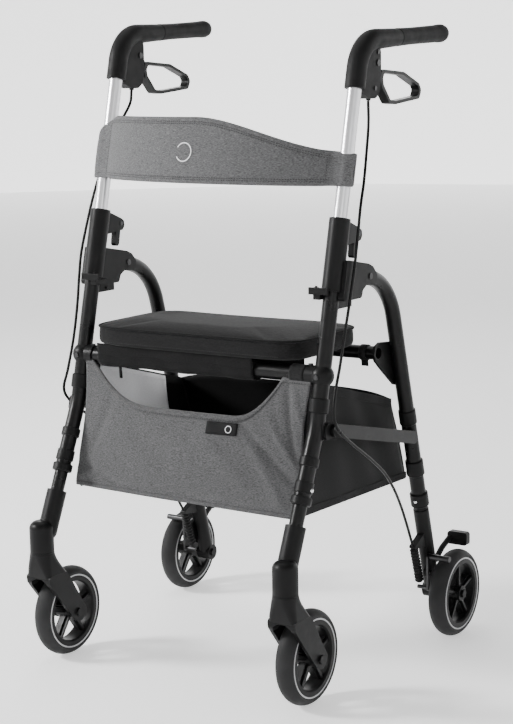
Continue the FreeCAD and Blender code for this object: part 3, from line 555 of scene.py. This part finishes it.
def inflate(o, hold_low, hold_edge):
    """Cloth run with inside pressure: the underside and the edge seam stay put, and the faces swell."""
    cap = 0.004
    remesh = o.modifiers.new("remesh", "REMESH")
    remesh.mode = "VOXEL"
    remesh.voxel_size = 0.005
    apply_modifiers(o)
    start = [v.co.copy() for v in o.data.vertices]
    group = o.vertex_groups.new(name="pin")
    for v in o.data.vertices:
        z = v.co.z * 1000
        near = abs(z - hold_edge) < 2.2 and v.normal.z < 0.8
        if z < hold_low or near:
            group.add([v.index], 1.0, "REPLACE")
    cloth = o.modifiers.new("cloth", "CLOTH")
    cloth.settings.quality = 4
    cloth.settings.mass = 0.2
    cloth.settings.tension_stiffness = 12
    cloth.settings.compression_stiffness = 12
    cloth.settings.bending_stiffness = 0.4
    cloth.settings.vertex_group_mass = "pin"
    cloth.settings.use_pressure = True
    cloth.settings.uniform_pressure_force = 4.0
    cloth.settings.effector_weights.gravity = 0
    cloth.collision_settings.use_collision = False
    scene = bpy.context.scene
    for frame_number in range(1, 21):
        scene.frame_set(frame_number)
    apply_modifiers(o)
    scene.frame_set(1)
    for v, old in zip(o.data.vertices, start):
        move = v.co - old
        if move.length > cap:
            v.co = old + move.normalized() * cap
    o.vertex_groups.clear()
    smooth = o.modifiers.new("smooth", "SUBSURF")
    smooth.levels = 1
    apply_modifiers(o)
    for face in o.data.polygons:
        face.use_smooth = True


# ---- bag ----
BAG_W = 212.0  # half the width of the bag at its sides


def scoop(x):
    """Top edge of the front panel: level in the middle, steeper on the right than on the left."""
    bottom, top = 434.0, 499.0
    t = (-60.0 - x) / 140.0 if x < 0 else (x - 85.0) / 78.0
    return bottom + (top - bottom) * min(max(t, 0.0), 1.0) ** 2.6


def bag_hem(x):
    """Bottom edge of the front panel, a little lower on the right."""
    return 288.0 - 3.0 * x / 218.0


def bag_half_width(z):
    """Half the width of the front panel, which swells and narrows between its ties."""
    return 216.5 + 4.0 * math.cos(math.tau * (z - 300.0) / 240.0)


def crease(x, z, a, b, wide, high):
    """A ridge along the line from a to b that fades at both ends."""
    run = ((b[0] - a[0]) ** 2 + (b[1] - a[1]) ** 2) ** 0.5
    ux, uz = (b[0] - a[0]) / run, (b[1] - a[1]) / run
    along = (x - a[0]) * ux + (z - a[1]) * uz
    off = (x - a[0]) * uz - (z - a[1]) * ux
    gain, outside, inside = 1.7, 20, 25
    ends = gain * smoothstep(-outside, inside, along) * smoothstep(run + outside, run - inside, along)
    return high * math.exp(-(off / wide) ** 2) * ends


# Start, end, half width and height of each fold in the front panel.
CREASES = [
    ((112, 420), (205, 330), 5.0, 3.0), ((150, 440), (212, 350), 4.5, -2.4),
    ((172, 490), (200, 380), 4.0, 2.6), ((186, 480), (212, 420), 4.0, -2.0),
    ((128, 400), (180, 300), 8.0, -1.8), ((-210, 330), (-120, 300), 7.0, 2.0),
    ((-214, 300), (-150, 330), 6.0, -1.6), ((-150, 440), (-190, 340), 9.0, 1.8),
    ((-40, 300), (60, 310), 12.0, 1.6), ((40, 400), (120, 330), 14.0, -1.6),
    ((-100, 400), (-20, 350), 16.0, 1.6),
]


def bag_front(t, v):
    """t runs -1 to 1 across the panel; v runs 0 at the bottom hem to 1 at the top edge."""
    x = t * BAG_W
    top, low = scoop(x), bag_hem(x)
    z = low + (top - low) * v
    wide = x * bag_half_width(z) / BAG_W
    plane = 15 + (48 - 15) * (z - 288) / (487 - 288)
    mid = 1 - abs(t) ** 2.2
    height = min(max((z - 284) / 200, 0), 1)
    belly = 26 * mid * math.sin(math.pi * height) ** 0.8
    fold = sum(crease(x, z, *c) for c in CREASES)
    return at(wide, plane - belly + fold, z)


def bag_front_at(x, z, proud):
    """The place on the front panel at x and z, moved out by a distance in metres."""
    v = (z - bag_hem(x)) / (scoop(x) - bag_hem(x))
    return bag_front(x / BAG_W, v) + TO_FRONT * proud


def bag_piece(name, rows, key, thickness=0.0014, closed=False, fold=False, smooth=True, body="front_frame"):
    """A thin fabric piece; with fold its place is baked into its mesh and it rides on no body, otherwise it
    rides on the given body.
    """
    verts, faces = grid(rows, closed_u=closed)
    o = mesh_object(name, verts, faces, smooth=smooth)
    if not closed:
        thicken(o, thickness)
    dress(o, key)
    if fold:
        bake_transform(o)
    else:
        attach(o, body)
    return o


def build_bag():
    cols, rows = 110, 44
    sheet = [[bag_front(-1 + 2 * i / cols, j / rows) for i in range(cols + 1)] for j in range(rows + 1)]
    panel = bag_piece("bag_front_panel", sheet, "bag", 0.0016)
    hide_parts("bag")
    for name, sign in SIDES:
        build_bag_side(name, sign)
    build_bag_floor()
    build_bag_rear()
    build_bag_hems(cols)
    for name, sign in SIDES:
        build_bag_ties(name, sign)
    tab = [[at(x, 52 + 1.5 * v, 489 - 19 * v) for x in (-152.5, -150, -147.5)] for v in (0, 0.3, 0.6, 1.0)]
    bag_piece("bag_inner_tab", tab, "liner", 0.0018)
    build_bag_label()


def build_bag_side(name, sign):
    """A side panel that tapers upwards, its pale inner sheet, and webbing along its top and bottom edges; the
    inner sheet's near-white colour is partly painted light, standing for light showing through the side into
    the bag.
    """
    rows, cols, painted_light_lining_low, painted_light_lining_front, painted_light_lining_rear = 16, 36, 5, 3, 28
    top_front, top_rear, low_front, low_rear = (52, 495), (314, 424), (15, 288), (366, 279)
    side, painted_light_lining = [], []
    for j in range(rows + 1):
        v = j / rows
        row, inner = [], []
        for i in range(cols + 1):
            u = i / cols
            top = [a + (b - a) * u for a, b in zip(top_front, top_rear)]
            low = [a + (b - a) * u for a, b in zip(low_front, low_rear)]
            d, z = (a + (b - a) * v for a, b in zip(low, top))
            bow = 5 * math.sin(math.pi * u) * math.sin(math.pi * v)
            wave = 1.2 * math.sin(u * 21 + v * 5) * math.sin(math.pi * u)
            row.append(at(sign * (BAG_W - 1 + bow + wave), d, z))
            if painted_light_lining_front <= i <= painted_light_lining_rear and j >= painted_light_lining_low:
                tuck = 2 if j == rows else 0
                inner.append(at(sign * (BAG_W - 4 + bow + wave), d, z - tuck))
        side.append(row)
        if inner:
            painted_light_lining.append(inner)
    panel = bag_piece(f"bag_side_{name}", side, "liner", 0.0012, fold=True)
    # The pale inner sheet's near-white colour is partly painted light inside the bag.
    pale = bag_piece(f"bag_painted_light_lining_{name}", painted_light_lining, "painted_light_lining", 0.0008, fold=True)
    for edge, pts, drop in (("top", side[-1], -0.013), ("bottom", side[0], 0.011)):
        section = [Vector((0.0022 * sign, 0, 0.001)), Vector((0.0024 * sign, 0, drop)),
                   Vector((-0.0016 * sign, 0, drop)), Vector((-0.0016 * sign, 0, 0.001))]
        strip = [[p + corner for corner in section] for p in pts]
        bag_piece(f"bag_{edge}_binding_{name}", strip, "webbing", closed=True, fold=True, smooth=False)


def build_bag_floor():
    """The bottom sheet: it sags between its edges and turns up behind the front panel."""
    rows, cols = 30, 40
    floor = []
    for j in range(rows + 1):
        u = j / rows
        row = []
        for i in range(cols + 1):
            x = -BAG_W + 2 * BAG_W * i / cols
            sag = (1 - (x / BAG_W) ** 2) * (4 + 6 * math.sin(math.pi * u))
            lip = 9 * math.exp(-(u / 0.02) ** 2)
            row.append(at(x, 17 + 349 * u, 287 - 8 * u - sag + lip))
        floor.append(row)
    base = bag_piece("bag_floor", floor, "liner", 0.0016, fold=True)


def build_bag_rear():
    """The rear panel leans forward with the rear legs, and its top corners droop."""
    rows, cols = 14, 40
    low_d, low_z, high_d, high_z = 366, 279, 309, 438
    rear = []
    for j in range(rows + 1):
        v = j / rows
        row = []
        for i in range(cols + 1):
            x = -BAG_W + 2 * BAG_W * i / cols
            droop = 12 * v * abs(-1 + 2 * i / cols) ** 6
            row.append(at(x, low_d + (high_d - low_d) * v + 4 * math.sin(math.pi * v),
                          low_z + (high_z - low_z) * v - droop))
        rear.append(row)
    back = bag_piece("bag_rear_panel", rear, "liner", 0.0014, body="rear_frame")


def build_bag_hems(cols):
    """Folded edges of the front panel, with a row of stitches under the scoop."""
    hem, low_hem = [], []
    for i in range(cols + 1):
        t = -1 + 2 * i / cols
        height = scoop(t * BAG_W) - bag_hem(t * BAG_W)
        p, q = bag_front(t, 1.0), bag_front(t, 1.0 - 9.0 / height)
        hem.append([p + Vector((0, 0.0016, 0.0008)), p + Vector((0, -0.0016, 0.0008)),
                    q + Vector((0, -0.0018, 0)), q + Vector((0, 0.0016, 0))])
        p, q = bag_front(t, 0.0), bag_front(t, 7.0 / height)
        low_hem.append([p + Vector((0, 0.0014, -0.0006)), p + Vector((0, -0.0014, -0.0006)),
                        q + Vector((0, -0.0015, 0)), q + Vector((0, 0.0014, 0))])
    bag_piece("bag_scoop_hem", hem, "bag", closed=True)
    bag_piece("bag_low_hem", low_hem, "bag", closed=True)
    line = []
    for i in range(6, 195):
        t = -1 + 2 * i / 200
        v = 1.0 - 7.4 / (scoop((-1 + i / 100) * BAG_W) - 288)
        line.append(bag_front(t, v) + TO_FRONT * 0.0017)
    stitches("bag_scoop_stitch", line, TO_FRONT, "front_frame")


def webbing_loop(xs, d, z, r):
    """A flat loop round a cross tube, r from the tube's axis."""
    steps = 24
    loop = []
    for k in range(steps + 1):
        a = math.tau * k / steps
        loop.append([at(x, d + r * math.cos(a), z + r * math.sin(a)) for x in xs])
    return loop


def build_bag_ties(name, sign):
    """A strap round the front cross tube on the right, and a loop with a tail round the rear one."""
    if sign > 0:
        strap = webbing_loop((180, 184, 202, 206), 60, 504, 14.6)
        bag_piece(f"bag_strap_{name}", strap, "webbing", 0.0014)
    loop = webbing_loop((sign * 196, sign * 200, sign * 208), 246, 512, 12.4)
    bag_piece(f"rear_bar_loop_{name}", loop, "liner", 0.0014, body="rear_frame")
    tail = []
    for v in (0, 0.35, 0.7, 1.0):
        d, z = 244 + 1.5 * math.sin(v * 2), 499.6 - 10 * v
        tail.append([at(x, d, z) for x in (sign * 196, sign * 202, sign * 208)])
    bag_piece(f"rear_bar_tab_{name}", tail, "liner", 0.0022, body="rear_frame")


def build_bag_label():
    """A blank woven label with a plain ring on it."""
    rows, cols, left, width, low, height = 6, 14, 48, 55, 405.5, 18.5
    label = []
    for j in range(rows + 1):
        z = low + height * j / rows
        label.append([bag_front_at(left + width * i / cols, z, 0.0020) for i in range(cols + 1)])
    bag_piece("bag_label", label, "label", 0.0012)
    steps, x0, z0 = 32, 88, 414.5
    ring = []
    for k in range(steps + 1):
        a = math.tau * k / steps
        ring.append([bag_front_at(x0 + r * math.cos(a), z0 + r * math.sin(a), 0.0030) for r in (4.6, 5.6)])
    bag_piece("bag_label_mark", ring, "mark", 0.0004)


# ---- cables and boots ----
CABLE_R = 0.0024
UPPER = {
    "right": [
        (232, 206, 917), (234, 203, 880), (241, 184, 838), (251, 158, 795), (256, 138, 757), (258, 126, 715),
        (259.5, 112, 665), (259.5, 97, 615), (259, 83, 570), (258.5, 68, 520), (260, 50, 478),
    ],
    "left": [
        (232, 210.7, 936.4), (232.5, 206, 914), (238, 187, 884), (246, 162, 836), (253, 139, 790),
        (257, 124, 750), (260, 112, 712), (264, 101, 668), (263, 92, 628), (259.5, 81, 585), (257.5, 66, 530),
        (259, 50, 478),
    ],
}
LOWER = [
    (262.8, 42, 445), (263, 58, 421), (263, 98, 393), (263, 152, 360), (260, 204, 326), (254, 246, 291),
    (247, 284, 252), (241, 316, 212), (238, 338, 178),
]
CURVE_STEPS = 10
BOOT_TOP, BOOT_FOOT = (238, 347.0, 163.0), (238, 367.5, 101.0)


def boot_radius(t):
    """Eleven ribs, fading out at both ends."""
    rib = abs(math.sin(t * math.pi * 11)) * smoothstep(0, 0.04, t) * smoothstep(1, 0.96, t)
    return 0.0056 + 0.0020 * rib


def build_cables():
    """Each cable in four runs: the side run rides on the front frame and the other three stay where they are;
    the boot and the end ride on the rear foot.
    """
    for name, sign in SIDES:
        pts = [at(sign * x, d, z) for x, d, z in UPPER[name] + LOWER]
        line = smooth_curve(pts, CURVE_STEPS)
        end = len(line) - 1
        runs = (("top", 0, end - 130), ("side", end - 130, end - 70), ("low", end - 70, end - 30),
                ("tail", end - 30, end))
        for part, a, b in runs:
            o = tube(f"cable_{part}_{name}", line[a:b + 1], CABLE_R, 12)
            dress(o, "sheath")
            if part == "top":
                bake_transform(o)
                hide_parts("brake_cables")
            elif part == "side":
                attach(o, "front_frame")
            elif part == "low":
                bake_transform(o)
            else:
                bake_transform(o)
        a, b = (at(sign * x, d, z) for x, d, z in (BOOT_TOP, BOOT_FOOT))
        steps = 120
        boot_line = [a + (b - a) * (i / steps) for i in range(steps + 1)]
        boot = tube(f"cable_boot_{name}", boot_line, boot_radius, 24)
        piece(boot, f"rear_foot_{name}", "boot", [f"brake_boot_{name}"])
        wire = tube(f"cable_end_{name}", smooth_curve([pts[-1], a]), CABLE_R, 12)
        piece(wire, f"rear_foot_{name}", "sheath")


# ---- wheel rings ----
RING_STEPS = 96
RING_SECTION = ((59.6, 14.4), (59.8, 15.0), (61.6, 15.15), (62.2, 14.7))  # radius and offset from mid-wheel


def build_rings():
    """The light ring on both faces of each wheel."""
    wheel_z = 75
    for name, sign in SIDES:
        for end, x, d in (("front", 236.0, 0.0), ("rear", 280.3, 415.4)):
            for k, face in (("outer", 1), ("inner", -1)):
                ring = []
                for i in range(RING_STEPS + 1):
                    a = math.tau * i / RING_STEPS
                    c, s = math.cos(a), math.sin(a)
                    ring.append([at(sign * x + face * off, d + r * c, wheel_z + r * s)
                                 for r, off in RING_SECTION])
                o = mesh_object(f"{end}_ring_{k}_{name}", *grid(ring, closed_u=True))
                piece(o, f"{end}_wheel_{name}", "ring")


build_backrest()
build_seat()
build_bag()
build_cables()
build_rings()


# ---- stage, light, camera ----
def emitter(name, corners, colour, strength):
    """A flat studio panel that glows evenly."""
    o = mesh_object(name, [Vector(c) for c in corners], [(0, 1, 2, 3)], smooth=False)
    m = Mat(name, 0.9)
    darker, lighter = (colour,) * 3 + (1,), (colour * 1.02,) * 3 + (1,)
    m.colour(m.ramp(m.noise(0.6, 2.0), [(0.3, darker), (0.7, lighter)]))
    m.bsdf.inputs["Emission Color"].default_value = (1, 1, 1, 1)
    m.bsdf.inputs["Emission Strength"].default_value = strength
    o.data.materials.append(m.m)


def build_stage():
    """A pale floor and a ring of pale walls, darker in front, with a strong key light on the left."""
    half, wall_r, wall_h, walls = 14, 12.5, 7, 12
    rear_glow, front_glow = 1.35, 0.55
    floor = [(-half, -half, 0), (half, -half, 0), (half, half, 0), (-half, half, 0)]
    emitter("pale_floor", floor, 0.88, 0.62)
    ring = []
    for k in range(walls):
        turn = math.tau * k / walls
        ring.append((wall_r * math.cos(turn), wall_r * math.sin(turn)))
    for k, ((x0, y0), (x1, y1)) in enumerate(zip(ring, ring[1:] + ring[:1])):
        corners = [(x0, y0, 0), (x0, y0, wall_h), (x1, y1, wall_h), (x1, y1, 0)]
        emitter(f"pale_wall_{k}", corners, 0.85, rear_glow if y0 + y1 > 0 else front_glow)
    world = bpy.data.worlds.new("studio")
    world.use_nodes = True
    world.node_tree.nodes["Background"].inputs["Color"].default_value = (1, 1, 1, 1)
    world.node_tree.nodes["Background"].inputs["Strength"].default_value = 0.16
    bpy.context.scene.world = world
    target = Vector((0, 0, 0.5))
    lights = (("key", (-2.8, -2.0, 2.2), 0.8, 215), ("fill", (2.6, -2.6, 1.6), 0.9, 8),
              ("top", (-0.6, 0.2, 3.0), 2.0, 30), ("back", (-1.8, 2.6, 2.2), 1.6, 16))
    for name, place, size, power in lights:
        light = bpy.data.lights.new(name, "AREA")
        light.size = size
        light.energy = power
        o = bpy.data.objects.new(name, light)
        o.location = place
        o.rotation_euler = (target - Vector(place)).to_track_quat("-Z", "Y").to_euler()
        bpy.context.scene.collection.objects.link(o)


def build_camera():
    """The camera stands in front and to the right, turned by yaw and pitch about the object."""
    yaw, pitch, roll = 0.5781, 0.165, -0.0149
    back = Vector((math.sin(yaw) * math.cos(pitch), -math.cos(yaw) * math.cos(pitch), math.sin(pitch)))
    right = Vector((math.cos(yaw), math.sin(yaw), 0))
    up = back.cross(right)
    x = right * math.cos(roll) + up * math.sin(roll)
    y = -right * math.sin(roll) + up * math.cos(roll)
    cam = bpy.data.cameras.new("camera")
    cam.lens = 85.76
    cam.sensor_width = 36
    cam.sensor_fit = "AUTO"
    cam.clip_end = 60
    o = bpy.data.objects.new("camera", cam)
    m = Matrix((x, y, back)).transposed().to_4x4()
    m.translation = Vector((1.56605, -2.37587, 0.95919))
    o.matrix_world = m
    bpy.context.scene.collection.objects.link(o)
    bpy.context.scene.camera = o


build_stage()
build_camera()
